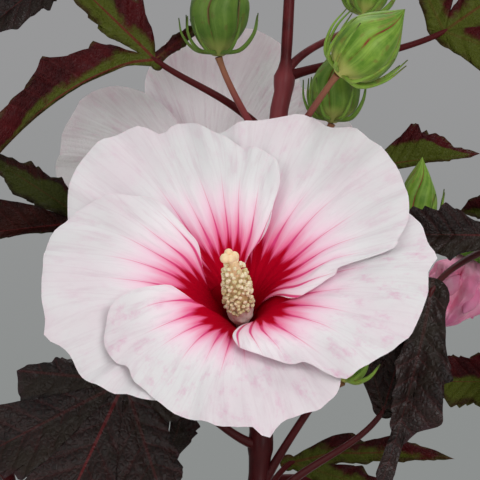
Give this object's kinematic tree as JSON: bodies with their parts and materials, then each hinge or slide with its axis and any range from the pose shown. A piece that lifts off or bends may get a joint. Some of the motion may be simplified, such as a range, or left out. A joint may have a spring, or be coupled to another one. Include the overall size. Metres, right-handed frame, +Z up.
{
  "type": "potted rose mallow",
  "caption": "Potted rose mallow with maroon stems, deeply lobed dark leaves, large white blooms with crimson throats, and green buds at every stage.",
  "frame": {"origin": "centre of the pot's flat base, on the surface it stands on", "axes": "+Z up along the pot's axis; the open front bloom faces -Y; +X to the viewer's right"},
  "size_m": [0.5109, 0.3517, 0.743],
  "materials": {
    "pot": "moulded terracotta-brown plastic",
    "soil": "damp bark potting mix",
    "stem": "smooth maroon bark with a waxy sheen",
    "dark_leaf": "puckered, near-black purple, satin",
    "young_leaf": "olive green with maroon edges and veins, satin",
    "petal": "soft, finely pleated, veined pink round a crimson throat",
    "spent_petal": "furled and wilted pink",
    "column": "powdery cream pollen",
    "bud": "satin green with red-brown seams"
  },
  "bodies": {
    "root": {"pot": "pot", "soil": "soil", "stem_main": "stem", "stem_right": "stem", "stem_left": "stem", "stem_back": "stem", "bloom_front_petals": "petal", "bloom_front_column": "column", "bloom_front_calyx": "bud", "bloom_rear_petals": "petal", "bloom_rear_column": "column", "bloom_rear_calyx": "bud", "bloom_spent_corolla": "spent_petal", "bloom_spent_calyx": "bud", "bud_large": "bud", "bud_behind": "bud", "bud_upright": "bud", "bud_high": "bud", "bud_right": "bud", "bud_low": "bud", "bud_tip_main": "bud", "bud_tip_right": "bud", "bud_left": "bud", "bud_back": "bud", "leaf_crown_left": "young_leaf", "leaf_crown_top_left": "dark_leaf", "leaf_crown_right": "young_leaf", "leaf_side_right": "young_leaf", "leaf_side_left": "young_leaf", "leaf_low_left": "dark_leaf", "leaf_behind_left": "dark_leaf", "leaf_low_right": "young_leaf", "leaf_upright_right": "dark_leaf", "leaf_top_back": "young_leaf", "leaf_top_right": "young_leaf", "leaf_top_left": "young_leaf", "leaf_base_front": "dark_leaf", "leaf_base_right": "dark_leaf", "leaf_base_left": "dark_leaf", "leaf_base_low": "dark_leaf", "leaf_right_hanging": "dark_leaf", "leaf_right_pointing": "dark_leaf", "leaf_right_behind": "young_leaf", "leaf_right_small": "young_leaf", "leaf_right_top": "young_leaf", "leaf_right_back": "dark_leaf", "leaf_right_out": "dark_leaf", "leaf_right_front": "dark_leaf", "leaf_right_low": "dark_leaf", "leaf_left_top": "young_leaf", "leaf_left_back": "dark_leaf", "leaf_left_out": "dark_leaf", "leaf_left_front": "dark_leaf", "leaf_left_low": "dark_leaf", "leaf_back_top": "young_leaf", "leaf_back_left": "dark_leaf", "leaf_back_right": "dark_leaf", "leaf_back_low": "dark_leaf"}
  },
  "joints": []
}
